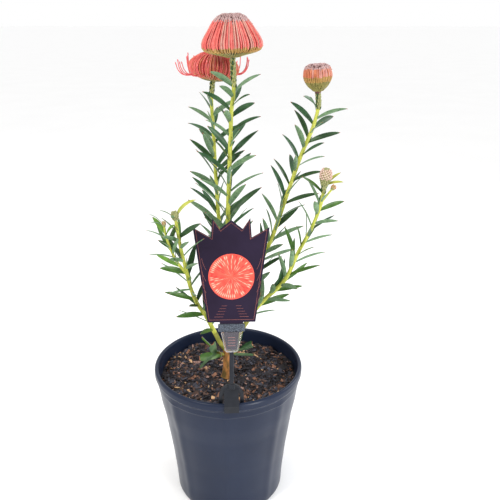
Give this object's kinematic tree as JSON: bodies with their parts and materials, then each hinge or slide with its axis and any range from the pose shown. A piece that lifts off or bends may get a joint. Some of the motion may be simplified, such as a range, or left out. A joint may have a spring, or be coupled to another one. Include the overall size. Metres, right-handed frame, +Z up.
{
  "type": "potted pincushion shrub",
  "caption": "Young pincushion shrub with strap leaves and coral flower heads, standing in a round nursery pot of bark mix, with a blank crown-shaped label clipped to the rim.",
  "frame": {"origin": "centre of the pot's flat underside", "axes": "+Z up along the pot's axis, -Y towards the label and the front of the plant, +X to the right seen from the front"},
  "size_m": [0.2513, 0.2075, 0.6541],
  "materials": {
    "pot": "satin dark slate moulded plastic",
    "potting_mix": "dark damp bark chips",
    "bark": "tan rough bark",
    "green_stem": "yellow-green young bark",
    "foliage": "leathery blue-green leaves and coral flower heads",
    "label_card": "dark purple printed card",
    "label_band": "grey speckled foam",
    "label_holder": "clear moulded plastic",
    "label_black": "black moulded plastic"
  },
  "bodies": {
    "root": {"pot": "pot", "potting_mix": "potting_mix", "trunk": "bark", "bough_centre": "green_stem", "bough_back": "green_stem", "bough_right": "green_stem", "bough_far_right": "green_stem", "bough_left": "green_stem", "foliage_centre": "foliage", "foliage_back": "foliage", "foliage_right": "foliage", "foliage_far_right": "foliage", "foliage_left": "foliage", "foliage_base_left": "foliage", "foliage_base_right": "foliage", "label_card": "label_card", "label_band": "label_band", "label_holder": "label_holder", "label_stake": "label_black", "label_clip": "label_black"}
  },
  "joints": []
}
